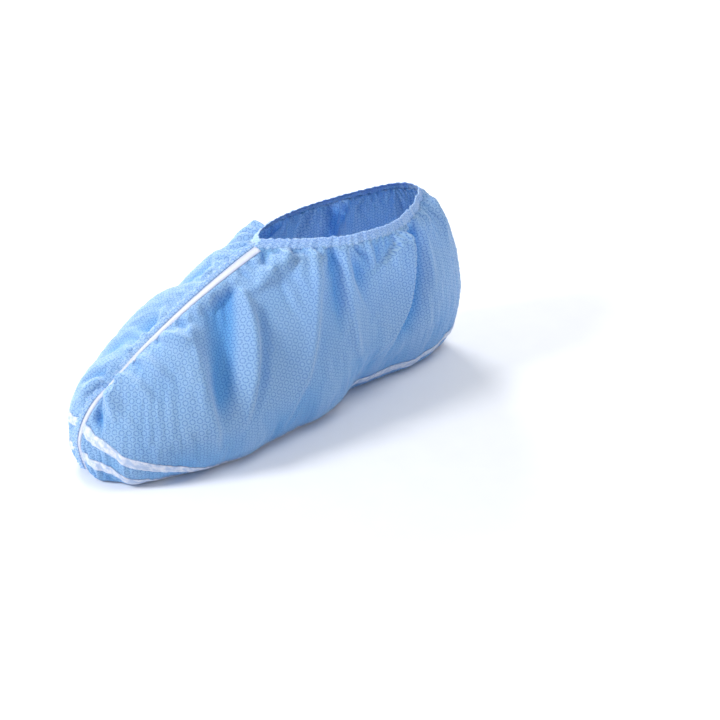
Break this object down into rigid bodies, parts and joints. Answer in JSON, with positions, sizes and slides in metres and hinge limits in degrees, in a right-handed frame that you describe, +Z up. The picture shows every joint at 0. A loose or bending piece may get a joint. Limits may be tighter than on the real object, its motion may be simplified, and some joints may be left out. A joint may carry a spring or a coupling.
{
  "type": "disposable shoe cover",
  "caption": "Thin nonwoven overshoe with an elasticated ankle opening, a taped instep seam and white tread stripes under the sole, standing open as it does over a shoe.",
  "frame": {"origin": "centre of the base of the cover's box, on the floor", "axes": "+Z up, -Y towards the toe, +Y towards the heel, +X towards the side that carries the seam's tape"},
  "size_m": [0.1242, 0.3204, 0.1313],
  "materials": {
    "cloth": "light blue spunbond nonwoven, matte, embossed with small rings",
    "hem": "the same nonwoven folded over elastic",
    "tape": "white sewn tape, matte",
    "ruffle": "overlocked cut edge of the nonwoven",
    "tread": "thin white non-skid coating"
  },
  "bodies": {
    "root": {"cover_body": "cloth", "opening_hem": "hem", "seam_tape": "tape", "seam_ruffle": "ruffle", "tread_outer_plus": "tread", "tread_inner_plus": "tread", "tread_outer_minus": "tread", "tread_inner_minus": "tread"}
  },
  "joints": []
}
